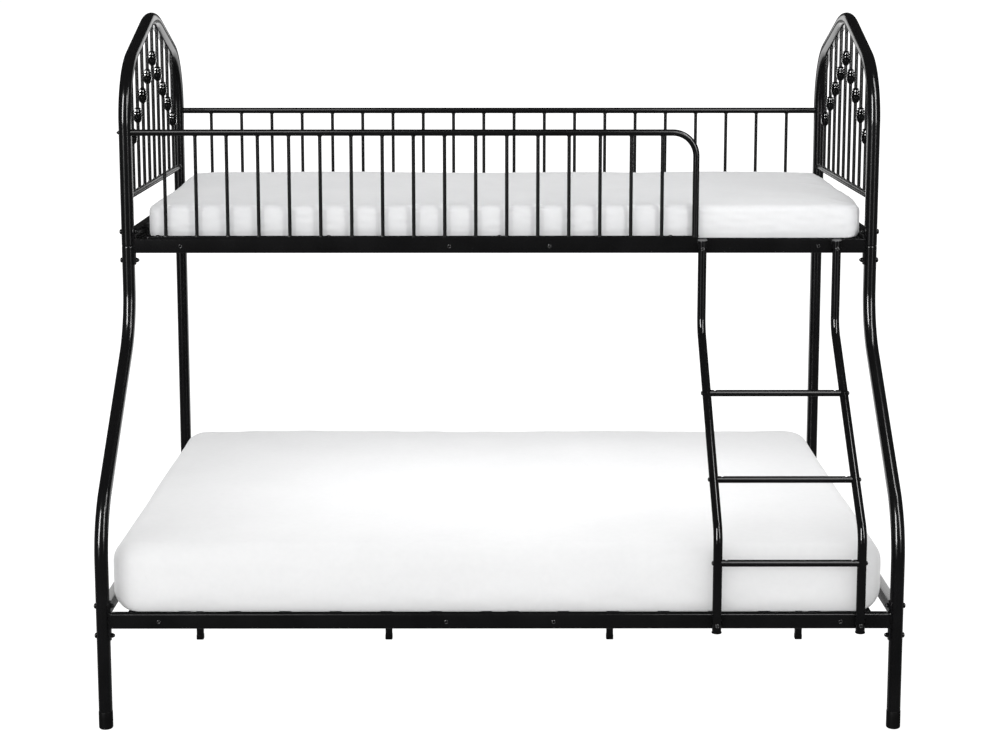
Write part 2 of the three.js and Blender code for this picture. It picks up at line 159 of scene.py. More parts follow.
def ramp(nt, value, stops):
    n = nt.nodes.new("ShaderNodeValToRGB")
    n.color_ramp.elements[0].position = stops[0][0]
    n.color_ramp.elements[0].color = (*stops[0][1], 1)
    n.color_ramp.elements[1].position = stops[-1][0]
    n.color_ramp.elements[1].color = (*stops[-1][1], 1)
    for p, c in stops[1:-1]:
        e = n.color_ramp.elements.new(p)
        e.color = (*c, 1)
    nt.links.new(value, n.inputs["Fac"])
    return n.outputs["Color"]


def bump(nt, bsdf, heights):
    """Chains (height, distance in metres, strength) into the shader's normal."""
    last = None
    for height, distance, strength in heights:
        b = nt.nodes.new("ShaderNodeBump")
        b.inputs["Distance"].default_value = distance
        b.inputs["Strength"].default_value = strength
        nt.links.new(height, b.inputs["Height"])
        if last is not None:
            nt.links.new(last, b.inputs["Normal"])
        last = b.outputs["Normal"]
    nt.links.new(last, bsdf.inputs["Normal"])


def coated(name, dark, light, rough, peel=1.0, level=0.5):
    """Satin stoved coat on steel: orange peel, pooled gloss, faint dust and handling marks."""
    m, nt, bsdf, coord = material(name)
    cloud = tex_noise(nt, coord, 9.0, 3.0, 0.55)
    speck = tex_noise(nt, coord, 260.0, 2.0, 0.6)
    mixed = maths(nt, "ADD", maths(nt, "MULTIPLY", cloud, 0.7), maths(nt, "MULTIPLY", speck, 0.3))
    nt.links.new(ramp(nt, mixed, [(0.34, dark), (0.66, light)]), bsdf.inputs["Base Color"])
    smear = tex_noise(nt, coord, 38.0, 3.0, 0.6, 0.4)
    grain = maths(nt, "ADD", maths(nt, "MULTIPLY", cloud, 0.35), maths(nt, "MULTIPLY", smear, 0.65))
    nt.links.new(spread(nt, grain, 0.32, 0.68, rough[0], rough[1]), bsdf.inputs["Roughness"])
    bsdf.inputs["Metallic"].default_value = 0.0
    bsdf.inputs["Specular IOR Level"].default_value = level
    skin = tex_noise(nt, coord, 420.0, 1.0, 0.5)
    fine = tex_noise(nt, coord, 1300.0, 1.0, 0.5)
    bump(nt, bsdf, [(skin, 0.00012 * peel, 0.22), (fine, 0.00004 * peel, 0.2)])
    return m


COAT = coated("powder_coat", (0.0052, 0.0052, 0.0055), (0.0088, 0.0088, 0.0093), (0.15, 0.172), 0.09)
BOLT = coated("black_fastener", (0.005, 0.005, 0.0052), (0.011, 0.011, 0.0115), (0.13, 0.17), 0.25)
CAST = coated("cast_knob", (0.0036, 0.0036, 0.0038), (0.0064, 0.0064, 0.0068), (0.12, 0.14), 0.03, 0.5)
SCREW = coated("rail_screw", (0.022, 0.022, 0.0225), (0.036, 0.036, 0.037), (0.24, 0.3), 0.3, 1.0)
STILE = coated("ladder_coat", (0.0052, 0.0052, 0.0055), (0.0088, 0.0088, 0.0093), (0.085, 0.11), 0.06)
TRIM = coated("plastic_trim", (0.0035, 0.0035, 0.0036), (0.0058, 0.0058, 0.006), (0.42, 0.55), 1.6, 0.1)
PLUG = coated("grey_plug", (0.13, 0.13, 0.132), (0.2, 0.2, 0.203), (0.4, 0.52), 1.6, 0.4)


def zinc_material():
    m, nt, bsdf, coord = material("zinc_sleeve")
    flake = nt.nodes.new("ShaderNodeTexVoronoi")
    flake.inputs["Scale"].default_value = 140.0
    nt.links.new(coord, flake.inputs["Vector"])
    nt.links.new(
        ramp(nt, flake.outputs["Distance"], [(0.0, (0.42, 0.43, 0.45)), (0.6, (0.56, 0.57, 0.58)), (1.0, (0.66, 0.67, 0.68))]),
        bsdf.inputs["Base Color"],
    )
    nt.links.new(spread(nt, tex_noise(nt, coord, 90.0, 3.0), 0.3, 0.7, 0.26, 0.42), bsdf.inputs["Roughness"])
    bsdf.inputs["Metallic"].default_value = 1.0
    bump(nt, bsdf, [(tex_noise(nt, coord, 500.0, 2.0), 0.0001, 0.15)])
    return m


ZINC = zinc_material()


def cloth_material(name, low, high):
    m, nt, bsdf, coord = material(name)
    split = nt.nodes.new("ShaderNodeSeparateXYZ")
    nt.links.new(coord, split.inputs[0])
    x, y, z = split.outputs

    def thread(axis_value, period):
        turns = maths(nt, "MULTIPLY", axis_value, 2 * math.pi / period)
        return maths(nt, "SINE", turns)

    def lift(a):
        return maths(nt, "ADD", maths(nt, "MULTIPLY", a, 0.5), 0.5)

    # warp along X, weft along Y and Z: a plain weave of about nine threads to the centimetre
    warp = lift(thread(maths(nt, "ADD", y, z), 0.0011))
    weft = lift(thread(x, 0.0011))
    over = maths(nt, "MULTIPLY", thread(x, 0.0022), thread(maths(nt, "ADD", y, z), 0.0022))
    weave = maths(
        nt,
        "ADD",
        maths(nt, "MULTIPLY", warp, lift(over)),
        maths(nt, "MULTIPLY", weft, maths(nt, "SUBTRACT", 1.0, lift(over))),
    )
    slub = tex_noise(nt, coord, 55.0, 3.0, 0.6)
    cloud = tex_noise(nt, coord, 3.2, 3.0, 0.55)
    tone = maths(nt, "ADD", maths(nt, "MULTIPLY", cloud, 0.6), maths(nt, "MULTIPLY", slub, 0.4))
    nt.links.new(ramp(nt, tone, [(0.3, low), (0.7, high)]), bsdf.inputs["Base Color"])
    nt.links.new(spread(nt, slub, 0.3, 0.7, 0.82, 0.94), bsdf.inputs["Roughness"])
    bsdf.inputs["Specular IOR Level"].default_value = 0.25
    bsdf.inputs["Sheen Weight"].default_value = 0.12
    bsdf.inputs["Sheen Roughness"].default_value = 0.4
    pucker = tex_noise(nt, coord, 21.0, 3.0, 0.55, 0.6)
    bump(nt, bsdf, [(pucker, 0.0035, 0.12), (slub, 0.0008, 0.15), (weave, 0.00016, 0.35)])
    return m


# One cover cloth in two tones. The upper copy is painted darker, as painted shade, and the lower copy lighter, as
# painted light, to set how bright each mattress looks.
CLOTH_UPPER_PAINTED_DARKER = cloth_material("mattress_cover_upper", (0.74, 0.745, 0.755), (0.79, 0.793, 0.8))
CLOTH_LOWER_PAINTED_LIGHTER = cloth_material("mattress_cover_lower", (0.80, 0.802, 0.806), (0.85, 0.851, 0.854))


# ---- mesh building ----
class Shape:
    def __init__(self):
        self.v, self.f = [], []

    def add(self, points, faces):
        base = len(self.v)
        self.v.extend(points)
        self.f.extend([tuple(base + i for i in f) for f in faces])

    def loft(self, rings, cap=(True, True), closed=False):
        """Skins a list of rings, each with the same number of points."""
        n, k = len(rings[0]), len(rings)
        points = [p for r in rings for p in r]
        faces = []
        for i in range(k if closed else k - 1):
            a, b = i * n, ((i + 1) % k) * n
            for j in range(n):
                faces.append((a + j, a + (j + 1) % n, b + (j + 1) % n, b + j))
        for end, on in ((0, cap[0]), (k - 1, cap[1])):
            if on and not closed:
                centre = len(points)
                points.append(np.mean(rings[end], axis=0))
                for j in range(n):
                    faces.append((end * n + j, end * n + (j + 1) % n, centre))
        self.add(points, faces)

    def revolve(self, profile, place, axis, sides, shape=None):
        """Turns (radius, height) pairs, from axis to axis, round a direction; shape(angle, i) scales radii."""
        axis = unit(np.asarray(axis, float))
        ref = X if abs(axis[0]) < 0.9 else Y
        u = unit(np.cross(axis, ref))
        w = np.cross(axis, u)
        points, rows = [], []
        for i, (r, h) in enumerate(profile):
            c = np.asarray(place, float) + axis * h
            if r < 1e-6:
                rows.append([len(points)] * sides)
                points.append(c)
                continue
            row = []
            for j in range(sides):
                t = 2 * math.pi * j / sides
                rr = r * (shape(t, i) if shape else 1.0)
                row.append(len(points))
                points.append(c + rr * (math.cos(t) * u + math.sin(t) * w))
            rows.append(row)
        faces = []
        for a, b in zip(rows, rows[1:]):
            for j in range(sides):
                q = [a[j], a[(j + 1) % sides], b[(j + 1) % sides], b[j]]
                q = [p for i, p in enumerate(q) if p not in q[:i]]
                if len(q) > 2:
                    faces.append(tuple(q))
        self.add(points, faces)


def piece(name, shape, mat, body="frame", replaces=(), sharp=38.0, bevel=None):
    me = bpy.data.meshes.new(name)
    pts = [((p[0]) / 1000, (p[1] - DEPTH_CENTRE) / 1000, p[2] / 1000) for p in shape.v]
    me.from_pydata(pts, [], shape.f)
    bm = bmesh.new()
    bm.from_mesh(me)
    bmesh.ops.recalc_face_normals(bm, faces=bm.faces)
    bm.to_mesh(me)
    bm.free()
    me.shade_smooth()
    me.set_sharp_from_angle(angle=math.radians(sharp))
    me.materials.append(mat)
    o = bpy.data.objects.new(name, me)
    scene.collection.objects.link(o)
    if bevel:
        b = o.modifiers.new("bevel", "BEVEL")
        b.width, b.segments, b.limit_method = bevel / 1000, 3, "ANGLE"
        b.angle_limit = math.radians(38)
        b.harden_normals = False
    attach(o, body)
    if replaces:
        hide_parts(*replaces)
    return o


def bent(corners, radii, step):
    """Stations (point, direction) of a line with rounded corners."""
    points, dirs = [corners[0]], [unit(corners[1] - corners[0])]
    for i in range(1, len(corners) - 1):
        into, away = unit(corners[i] - corners[i - 1]), unit(corners[i + 1] - corners[i])
        turn = math.acos(max(-1, min(1, float(into @ away))))
        run = radii[i - 1] * math.tan(turn / 2)
        start = corners[i] - into * run
        inward = unit(away - into * float(away @ into))
        centre = start + inward * radii[i - 1]
        steps = max(2, math.ceil(math.degrees(turn) / step))
        for k in range(steps + 1):
            a = turn * k / steps
            points.append(centre - inward * radii[i - 1] * math.cos(a) + into * radii[i - 1] * math.sin(a))
            dirs.append(into * math.cos(a) + inward * math.sin(a))
    points.append(corners[-1])
    dirs.append(unit(corners[-1] - corners[-2]))
    return points, dirs


def circle(r, n):
    return [(r * math.cos(2 * math.pi * i / n), r * math.sin(2 * math.pi * i / n)) for i in range(n)]


def rounded_rect(w, h, r, steps=4):
    out = []
    for cx, cy, a0 in ((w / 2 - r, h / 2 - r, 0), (-w / 2 + r, h / 2 - r, 90), (-w / 2 + r, -h / 2 + r, 180), (w / 2 - r, -h / 2 + r, 270)):
        for k in range(steps + 1):
            a = math.radians(a0 + 90 * k / steps)
            out.append((cx + r * math.cos(a), cy + r * math.sin(a)))
    return out


def section(c, t, side, outline, scale=1.0, cope=None):
    up = np.cross(side, t)
    ring = []
    for a, b in outline:
        off = (side * a + up * b) * scale
        p = c + off
        if cope:
            p = p + t * cope(off)
        ring.append(p)
    return ring


# A rolled tube end: (distance in from the end, radius), from outside to the bottom of the bore
def rolled(r, depth=62.0, wall=1.6, roll=2.3):
    rows = [(roll + 3.5, r)]
    for k in range(6):
        a = math.radians(18 * k)
        rows.append((roll * (1 - math.sin(a)), r - wall * (1 - math.cos(a)) * 0.95))
    rows.append((0.35, r - wall))
    rows.append((depth, r - wall - 0.05))
    return rows


def tube(s, corners, radii, radius, sides, side, step=1.6, ends=(None, None), cope=(None, None)):
    pts, dirs = bent(corners, radii, step)
    outline = circle(1.0, sides)
    rings = []
    if ends[0]:
        for d, r in reversed(ends[0]):
            rings.append(section(pts[0] + dirs[0] * d, dirs[0], side, outline, r))
    else:
        rings.append(section(pts[0], dirs[0], side, outline, radius, cope[0]))
    for p, t in zip(pts[1:-1], dirs[1:-1]):
        rings.append(section(p, t, side, outline, radius))
    if ends[1]:
        for d, r in ends[1]:
            rings.append(section(pts[-1] - dirs[-1] * d, dirs[-1], side, outline, r))
    else:
        rings.append(section(pts[-1], dirs[-1], side, outline, radius, cope[1]))
    s.loft(rings)


def bead(s, points, outs, radius, sides=7, ripple=0.16, waves=9):
    """A weld bead along a closed loop of points, with the direction away from the joint at each."""
    n = len(points)
    rings = []
    for i in range(n):
        t = unit(points[(i + 1) % n] - points[i - 1])
        o = unit(outs[i] - t * float(outs[i] @ t))
        b = np.cross(t, o)
        r = radius * (1 + ripple * math.sin(2 * math.pi * waves * i / n) + 0.5 * ripple * math.sin(2 * math.pi * (waves * 2 + 1) * i / n + 1.3))
        rings.append([points[i] + r * (math.cos(2 * math.pi * k / sides) * o + math.sin(2 * math.pi * k / sides) * b) for k in range(sides)])
    s.loft(rings, closed=True)


# ---- fasteners ----
def dome_bolt(s, place, axis, head_r=7.2, head_h=5.2, shank=None, shank_r=3.9, socket=2.3, sides=30):
    """Button head with a hexagon socket, seated at place and standing out along axis."""
    prof = []
    if shank:
        prof += [(0, -shank), (shank_r, -shank), (shank_r, 0)]
    else:
        prof += [(0, -0.5), (head_r * 0.9, -0.5)]
    prof += [(head_r * 0.95, 0.0), (head_r, 0.35), (head_r, 0.8)]
    for k in range(1, 8):
        a = math.radians(90 * k / 8)
        r = head_r * math.cos(a)
        if r < socket * 1.35:
            break
        prof.append((r, 0.8 + (head_h - 0.8) * math.sin(a)))
    top = prof[-1][1]
    rim = len(prof)
    prof += [(socket * 1.12, top + 0.15), (socket, top - 0.15), (socket, top - 2.3), (0, top - 2.6)]

    def hexagon(t, i):
        if i < rim:
            return 1.0
        a = (math.degrees(t) % 60) - 30
        return 0.93 / math.cos(math.radians(a))

    s.revolve(prof, place, axis, sides, hexagon)


def pan_screw(s, place, axis, flange=5.4, sides=30):
    """Low button screw: a rounded collar round a wide hexagon socket."""
    prof = [(0, -0.4), (flange - 0.3, -0.4), (flange, 0.1)]
    for k in range(1, 8):
        a = math.radians(90 * k / 8)
        prof.append((4.0 + (flange - 4.0) * math.cos(a), 0.1 + 1.5 * math.sin(a)))
    prof += [(4.0, 1.6), (3.7, 1.5)]
    rim = len(prof)
    prof += [(3.45, 1.25), (3.4, -0.2), (0, -0.3)]

    def hexagon(t, i):
        if i < rim:
            return 1.0
        return 0.93 / math.cos(math.radians((math.degrees(t) % 60) - 30))

    s.revolve(prof, place, axis, sides, hexagon)


def dome_nut(s, place, axis, r=6.8, length=9.2, sides=30):
    """Cap nut: hexagon base and domed top."""
    flats = 4
    prof = [(0, -0.3), (r * 0.93, -0.3), (r, 0.4), (r, 3.3), (r * 0.9, 4.0)]
    dome = r * 0.78
    for k in range(0, 7):
        a = math.radians(90 * k / 7)
        prof.append((dome * math.cos(a), 4.2 + (length - 4.2) * math.sin(a)))
    prof.append((0, length))

    def hexagon(t, i):
        if not 1 <= i <= flats:
            return 1.0
        a = (math.degrees(t) % 60) - 30
        return min(1.0, 0.885 / math.cos(math.radians(a)))

    s.revolve(prof, place, axis, sides, hexagon)


# ---- end frames ----
def arch_line(x):
    return (
        [A(x, UPPER_Y, SEAM_Z + 0.15), A(x, UPPER_Y, ARCH_KNEE_Z), A(x, ARCH_MID_Y, ARCH_APEX_Z), A(x, REAR_Y, ARCH_KNEE_Z), A(x, REAR_Y, SEAM_Z + 0.15)],
        [ARCH_KNEE_R, ARCH_APEX_R, ARCH_KNEE_R],
    )


arch_pts, arch_dirs = bent(*arch_line(0.0), 1.0)
arch_y = np.array([p[1] for p in arch_pts[1:-1]])
arch_z = np.array([p[2] for p in arch_pts[1:-1]])


def arch_underside(y, dx, depth=1.2):
    """Height of the arch tube's lower surface above (y, dx off its axis)."""
    z = float(np.interp(y, arch_y, arch_z))
    z2 = float(np.interp(y + 2, arch_y, arch_z))
    slope = math.atan2(z2 - z, 2)
    return z - math.sqrt(max(1.0, (POST_R - depth) ** 2 - dx * dx)) / math.cos(slope)


def post_cope(off_axis):
    """How far a member that butts on a post must reach in at a side offset from the post's axis."""
    return POST_R - math.sqrt(max(0.0, POST_R**2 - off_axis**2))


KNOB_TOP = ((22.6, 0.0), (22.3, 4.6), (21.2, 6.9), (19.6, 8.8), (17.6, 10.4), (17.2, 7.4))
KNOB_RINGS = ((11.4, 3.3, 8.2), (4.1, 3.3, 8.7))  # height, radius of the roll, radius of the ring


def casting(s, x, y, z):
    """Turned cast knob: a button top, two rolled rings and a plain bulb below."""
    prof = [(r, h) for h, r in KNOB_TOP]
    for hc, roll, ring in KNOB_RINGS:
        for k in range(13):
            a = math.radians(90 - 15 * k)
            prof.append((max(7.4, ring + roll * math.cos(a)), hc + roll * math.sin(a)))
    prof += [(7.4, 0.5), (12.2, 0.1), (12.3, -2.0)]
    for k in range(13):
        a = math.radians(90 * k / 13)
        prof.append((max(5.4, 12.4 * math.cos(a) ** 0.8), -4.0 - 18.2 * math.sin(a)))
    prof += [(5.2, -22.4), (0.0, -22.6)]
    s.revolve(prof, A(x, y, z), Z, 48)


for side_name, sg in (("left", -1), ("right", 1)):
    x = sg * POST_X
    s = Shape()
    corners, radii = arch_line(x)
    tube(s, corners, radii, POST_R, 44, X, 1.5, (rolled(POST_R, roll=3.0), rolled(POST_R, roll=3.0)))
    piece(f"{side_name}_arch_tube", s, COAT, replaces=[f"{side_name}_upper_arch"])

    # headboard: bar, spindles and castings
    s = Shape()
    tube(s, [A(x, UPPER_Y + POST_R - 0.8, BAR_Z), A(x, REAR_Y - POST_R + 0.8, BAR_Z)], [], BAR_R, 28, X, ends=(None, None),
         cope=(lambda off: -post_cope(off[0]), lambda off: post_cope(off[0])))
    for y0, dy in ((UPPER_Y, 1), (REAR_Y, -1)):
        loop, outs = [], []
        for k in range(28):
            a = 2 * math.pi * k / 28
            dx, dz = BAR_R * math.cos(a), BAR_R * math.sin(a)
            loop.append(A(x + dx, y0 + dy * (math.sqrt(POST_R**2 - dx * dx) + 0.6), BAR_Z + dz))
            outs.append(A(math.cos(a), dy * 0.8, math.sin(a)))
        bead(s, loop, outs, 2.0)
    piece(f"{side_name}_headboard_bar", s, COAT, replaces=[f"{side_name}_headboard_panel"])
    s = Shape()
    for i, cz in enumerate(CASTING_Z):
        y = ARCH_MID_Y + (i - 4) * HEAD_PITCH
        rings = [[], [], [], []]
        low_loop, low_out, up_loop, up_out = [], [], [], []
        for k in range(20):
            a = 2 * math.pi * k / 20
            dx, dy = SPINDLE_R * math.cos(a), SPINDLE_R * math.sin(a)
            z0 = BAR_Z + math.sqrt(BAR_R**2 - dx * dx) - 0.8
            z1 = arch_underside(y + dy, dx)
            for r, z in zip(rings, (z0, z0 + 3, z1 - 3, z1)):
                r.append(A(x + dx, y + dy, z))
            low_loop.append(A(x + dx, y + dy, z0 + 1.0))
            low_out.append(A(math.cos(a), math.sin(a), 0.7))
            up_loop.append(A(x + dx, y + dy, z1 - 1.0))
            up_out.append(A(math.cos(a), math.sin(a), -0.7))
        s.loft(rings)
        bead(s, low_loop, low_out, 1.7, 6, 0.14, 5)
        bead(s, up_loop, up_out, 1.7, 6, 0.14, 5)
    piece(f"{side_name}_headboard_spindles", s, COAT)
    s = Shape()
    for i, cz in enumerate(CASTING_Z):
        casting(s, x, ARCH_MID_Y + (i - 4) * HEAD_PITCH, cz)
    piece(f"{side_name}_headboard_castings", s, CAST, sharp=60)

    # end rails
    for level, y0, z in (("upper", UPPER_Y, UPPER_END_Z), ("lower", LOWER_Y, LOWER_END_Z)):
        s = Shape()
        outline = rounded_rect(RAIL_T, RAIL_H, 3.2)
        ring0 = section(A(x, y0 + POST_R, z), Y, X, outline, cope=lambda off: -post_cope(off[0]) - 0.6)
        ring1 = section(A(x, REAR_Y - POST_R, z), Y, X, outline, cope=lambda off: post_cope(off[0]) + 0.6)
        s.loft([ring0, section(A(x, y0 + POST_R + 6, z), Y, X, outline), section(A(x, REAR_Y - POST_R - 6, z), Y, X, outline), ring1])
        for yy, dy in ((y0, 1), (REAR_Y, -1)):
            loop, outs = [], []
            for a, b in outline:
                yc = yy + dy * (math.sqrt(POST_R**2 - a * a) + 0.8)
                loop.append(A(x + a, yc, z + b))
                outs.append(A(a / RAIL_T, dy * 0.35, b / RAIL_H))
            bead(s, loop, outs, 2.0, 7, 0.15, 11)
        piece(f"{side_name}_{level}_end_tube", s, COAT, replaces=[f"{side_name}_{level}_end_rail"])

    # legs
    s = Shape()
    tube(
        s,
        [A(x, UPPER_Y, SEAM_Z - 0.15), A(x, UPPER_Y, LEG_HIGH_Z), A(x, LOWER_Y, LEG_LOW_Z), A(x, LOWER_Y, 6.3)],
        [LEG_R, LEG_R], POST_R, 44, X, 1.5, (rolled(POST_R, roll=3.0), rolled(POST_R, 16)),
    )
    piece(f"{side_name}_front_leg_tube", s, COAT, replaces=[f"{side_name}_front_leg"])
    s = Shape()
    tube(s, [A(x, REAR_Y, SEAM_Z - 0.15), A(x, REAR_Y, 6.3)], [], POST_R, 44, X, 1.5, (rolled(POST_R, roll=3.0), rolled(POST_R, 16)))
    piece(f"{side_name}_rear_leg_tube", s, COAT, replaces=[f"{side_name}_rear_leg"])

    for place, y in (("front", LOWER_Y), ("rear", REAR_Y)):
        s = Shape()
        R = POST_R + 0.75
        prof = [(0, 1.2), (8.0, 1.2), (9.0, 0.0), (14.6, 0.0)]
        for k in range(1, 7):
            a = math.radians(90 * k / 6)
            prof.append((14.6 + (R - 14.6) * math.sin(a), 5.0 * (1 - math.cos(a))))
        prof += [(R, 30.0), (R - 0.05, 46.2), (R - 0.3, 47.0), (POST_R + 0.12, 47.3), (POST_R + 0.12, 6.2), (14.4, 6.2), (14.4, 21.0), (12.6, 22.0), (0, 22.0)]
        s.revolve(prof, A(x, y, 0), Z, 44)
        piece(f"{side_name}_{place}_foot_cap", s, TRIM, replaces=[f"{side_name}_{place}_foot"])


# ---- side rails with curved brackets ----
def saddle_plate(s, x, y, z):
    inward = 0.0 if x < 0 else math.pi
    r0, r1 = POST_R + 0.2, POST_R + 0.4 + SADDLE_T
    half = math.radians(42)
    arc = half * r1
    corner = 9.0
    cols = 28
    rows = []
    for i in range(cols + 1):
        a = -half + 2 * half * i / cols
        d = abs(a) * r1 - (arc - corner)
        inset = corner - math.sqrt(max(0.0, corner**2 - d * d)) if d > 0 else 0.0
        rows.append((a, SADDLE_H / 2 - inset))
    e = 0.7  # softened edge
    rings = []
    for a, h in rows:
        c, sn = math.cos(inward + a), math.sin(inward + a)
        ring = []
        for r, zz in ((r0, -h), (r0, h), (r1 - e, h), (r1 - e * 0.3, h - e * 0.3), (r1, h - e), (r1, h * 0.5), (r1, -h * 0.5), (r1, -h + e), (r1 - e * 0.3, -h + e * 0.3), (r1 - e, -h)):
            ring.append(A(x + r * c, y + r * sn, z + zz))
        rings.append(ring)
    s.loft(rings)


def rail_outline(inner, lift):
    """Section of a side rail: soft corners outside, crisp ones on the side of the slats."""
    out = []
    for sa, sb, a0 in ((1, 1, 0), (-1, 1, 90), (-1, -1, 180), (1, -1, 270)):
        r = 1.4 if sa == inner else 3.2
        for k in range(5):
            a = math.radians(a0 + 22.5 * k)
            out.append((sa * (RAIL_T / 2 - r) + r * math.cos(a), sb * (RAIL_H / 2 - r) + (lift if sb > 0 else 0.0) + r * math.sin(a)))
    return out


def side_rail(name, y, z):
    s = Shape()
    outline = rail_outline(1 if y < REAR_Y else -1, 2.0)
    face = POST_R + 0.4 + SADDLE_T

    def reach(off_y):
        return POST_X - math.sqrt(face**2 - off_y**2) + 0.6

    rings = []
    for a, b in outline:
        rings.append([A(-reach(a), y + a, z + b), A(-POST_X + face + 9, y + a, z + b), A(POST_X - face - 9, y + a, z + b), A(reach(a), y + a, z + b)])
    rings = [[r[k] for r in rings] for k in range(4)]
    s.loft(rings)
    for sx in (-1, 1):
        loop, outs = [], []
        for a, b in outline:
            loop.append(A(sx * (reach(a) - 1.0), y + a, z + b))
            outs.append(A(-sx * 0.3, a / RAIL_T, b / RAIL_H))
        bead(s, loop, outs, 2.0, 7, 0.15, 11)
        saddle_plate(s, sx * POST_X, y, z)
    piece(f"{name}_tube", s, COAT, replaces=[name])


for name, y, z in (
    ("upper_front_rail", UPPER_Y, UPPER_RAIL_Z),
    ("upper_rear_rail", REAR_Y, UPPER_RAIL_Z),
    ("lower_front_rail", LOWER_Y, LOWER_RAIL_Z),
    ("lower_rear_rail", REAR_Y, LOWER_RAIL_Z),
):
    side_rail(name, y, z)

# bracket bolts: domed head outside the post, cap nut inside the bracket
for side_name, sg in (("left", -1), ("right", 1)):
    for level, place, y, z in (
        ("upper", "front", UPPER_Y, UPPER_RAIL_Z),
        ("lower", "front", LOWER_Y, LOWER_RAIL_Z),
        ("upper", "rear", REAR_Y, UPPER_RAIL_Z),
        ("lower", "rear", REAR_Y, LOWER_RAIL_Z),
    ):
        for row, dz in (("top", BOLT_PITCH), ("bottom", -BOLT_PITCH)):
            s = Shape()
            at = A(sg * POST_X, y, z + dz)
            dome_bolt(s, at + X * sg * (POST_R + 0.25), X * sg)
            dome_nut(s, at - X * sg * (POST_R + 0.4 + SADDLE_T), -X * sg)
            s.revolve([(0, -POST_R - SADDLE_T), (3.9, -POST_R - SADDLE_T), (3.9, POST_R + 0.4), (0, POST_R + 0.4)], at, X * sg, 18)
            piece(
                f"{level}_{place}_{side_name}_{row}_bolt_set", s, BOLT,
                replaces=[f"{level}_front_{side_name}_{row}_bolt"] if place == "front" else (),
            )

# screws in the front and rear faces of the side rails
for name, y, z, face in (
    ("upper_front", UPPER_Y, UPPER_RAIL_Z, -1),
    ("lower_front", LOWER_Y, LOWER_RAIL_Z, -1),
    ("upper_rear", REAR_Y, UPPER_RAIL_Z, 1),
    ("lower_rear", REAR_Y, LOWER_RAIL_Z, 1),
):
    s = Shape()
    for sx in (-890, -140, 140, 890):
        at = A(sx, y + face * RAIL_T / 2, z)
        pan_screw(s, at, Y * face)
    piece(f"{name}_rail_screws", s, SCREW)


# ---- guards ----
def guard_spindle(s, x, y):
    rings = [[], [], [], []]
    low, low_out, up, up_out = [], [], [], []
    for k in range(20):
        a = 2 * math.pi * k / 20
        dx, dy = SPINDLE_R * math.cos(a), SPINDLE_R * math.sin(a)
        z0 = STRIP_Z1 - 0.6
        z1 = GUARD_Z - math.sqrt(GUARD_R**2 - dy * dy) + 0.8
        for r, z in zip(rings, (z0, z0 + 3, z1 - 3, z1)):
            r.append(A(x + dx, y + dy, z))
        low.append(A(x + dx, y + dy, z0 + 1.0))
        low_out.append(A(math.cos(a), math.sin(a), 0.7))
        up.append(A(x + dx, y + dy, z1 - 1.0))
        up_out.append(A(math.cos(a), math.sin(a), -0.7))
    s.loft(rings)
    bead(s, low, low_out, 1.9, 6, 0.16, 5)
    bead(s, up, up_out, 1.6, 6, 0.14, 5)


def strip(s, x0, x1, y):
    outline = rounded_rect(RAIL_T, STRIP_Z1 - STRIP_Z0, 1.6, 3)
    zc = (STRIP_Z0 + STRIP_Z1) / 2
    rings = []
    for x, k in ((x0, 0.86), (x0 + 0.5, 0.96), (x0 + 1.4, 1.0), (x0 + 5.0, 1.0), (x1 - 5.0, 1.0), (x1 - 1.4, 1.0), (x1 - 0.5, 0.96), (x1, 0.86)):
        shrink = (RAIL_T / 2) * (1 - k) * 0.5
        rings.append([A(x, y + a * (1 - shrink / (RAIL_T / 2)), zc + b * k) for a, b in outline])
    s.loft(rings)


post_end = lambda off: -post_cope(off[1])
s = Shape()
tube(
    s,
    [A(-POST_X + POST_R - 0.4, UPPER_Y, GUARD_Z), A(GUARD_END_X, UPPER_Y, GUARD_Z), A(GUARD_END_X, UPPER_Y, STRIP_Z1 - 0.8)],
    [GUARD_BEND_R], GUARD_R, 28, Y, 2.5, cope=(post_end, None),
)
for i in range(17):
    guard_spindle(s, -931 + 86.5 * i, UPPER_Y)
loop = [A(GUARD_END_X + GUARD_R * math.cos(a), UPPER_Y + GUARD_R * math.sin(a), STRIP_Z1 + 0.4) for a in np.linspace(0, 2 * math.pi, 28, endpoint=False)]
outs = [A(math.cos(a), math.sin(a), 0.7) for a in np.linspace(0, 2 * math.pi, 28, endpoint=False)]
bead(s, loop, outs, 1.7, 6, 0.14, 8)
piece("front_guard", s, COAT, replaces=["front_guard_rail"])

s = Shape()
tube(
    s, [A(-POST_X + POST_R - 0.4, REAR_Y, GUARD_Z), A(POST_X - POST_R + 0.4, REAR_Y, GUARD_Z)], [], GUARD_R, 28, Y,
    cope=(post_end, lambda off: post_cope(off[1])),
)
for i in range(20):
    guard_spindle(s, -931 + 98 * i, REAR_Y)
piece("rear_guard", s, COAT, replaces=["rear_guard_rail"])

s = Shape()
strip(s, -STRIP_X, GUARD_END_X + 8, UPPER_Y)
strip(s, -STRIP_X, STRIP_X, REAR_Y)
piece("guard_foot_strips", s, COAT)

s = Shape()
for xs, y in (((-954, -477, 0, 478), UPPER_Y), ((-954, -477, 0, 477, 954), REAR_Y)):
    for sx in xs:
        dome_bolt(s, A(sx, y, STRIP_Z1 - 0.05), Z, 6.0, 3.8, socket=2.0)
piece("guard_strip_screws", s, BOLT)
s = Shape()
for sg, y in ((-1, UPPER_Y), (-1, REAR_Y), (1, REAR_Y)):
    at = A(sg * (POST_X + POST_R - 0.2), y, GUARD_Z)
    s.revolve([(0, -1.0), (5.2, -1.0), (5.4, 0.2), (5.2, 1.4), (4.2, 1.8), (3.6, 4.0), (2.2, 5.6), (0, 6.2)], at, X * sg, 24)
piece("guard_end_bolts", s, BOLT)

